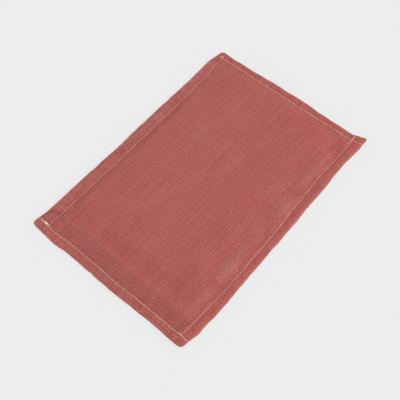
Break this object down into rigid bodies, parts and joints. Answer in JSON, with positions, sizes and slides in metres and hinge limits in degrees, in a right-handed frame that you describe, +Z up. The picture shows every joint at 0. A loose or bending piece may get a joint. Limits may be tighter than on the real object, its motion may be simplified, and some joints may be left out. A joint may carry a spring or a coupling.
{
  "type": "fire blanket",
  "caption": "Flat rectangular fire blanket: two woven glass cloths over a felt core, edges turned in and lockstitched all round, folding across its middle.",
  "frame": {"origin": "centre of the underside, on the surface that the blanket lies on", "axes": "+X along the blanket's length, +Y along its width, +Z up out of its face"},
  "size_m": [0.3, 0.204, 0.0064],
  "materials": {
    "face_cloth": "matt woven glass cloth, brick red",
    "back_cloth": "matt woven glass cloth, brick red",
    "felt": "needled heat-resistant felt, undyed",
    "needle_thread": "pale twisted sewing thread",
    "bobbin_thread": "pale twisted sewing thread"
  },
  "bodies": {
    "left_half": {"face_cloth_left": "face_cloth", "back_cloth_left": "back_cloth", "felt_core_left": "felt", "needle_thread_end_left": "needle_thread", "needle_thread_front_left": "needle_thread", "needle_thread_rear_left": "needle_thread", "bobbin_thread_end_left": "bobbin_thread", "bobbin_thread_front_left": "bobbin_thread", "bobbin_thread_rear_left": "bobbin_thread"},
    "right_half": {"face_cloth_right": "face_cloth", "back_cloth_right": "back_cloth", "felt_core_right": "felt", "needle_thread_end_right": "needle_thread", "needle_thread_front_right": "needle_thread", "needle_thread_rear_right": "needle_thread", "bobbin_thread_end_right": "bobbin_thread", "bobbin_thread_front_right": "bobbin_thread", "bobbin_thread_rear_right": "bobbin_thread"}
  },
  "joints": [
    {"name": "centre_fold", "type": "hinge", "parent": "left_half", "child": "right_half", "pos_m": [0, 0, 0.0066], "axis": [0, -1, 0], "range_deg": [0, 180]}
  ]
}
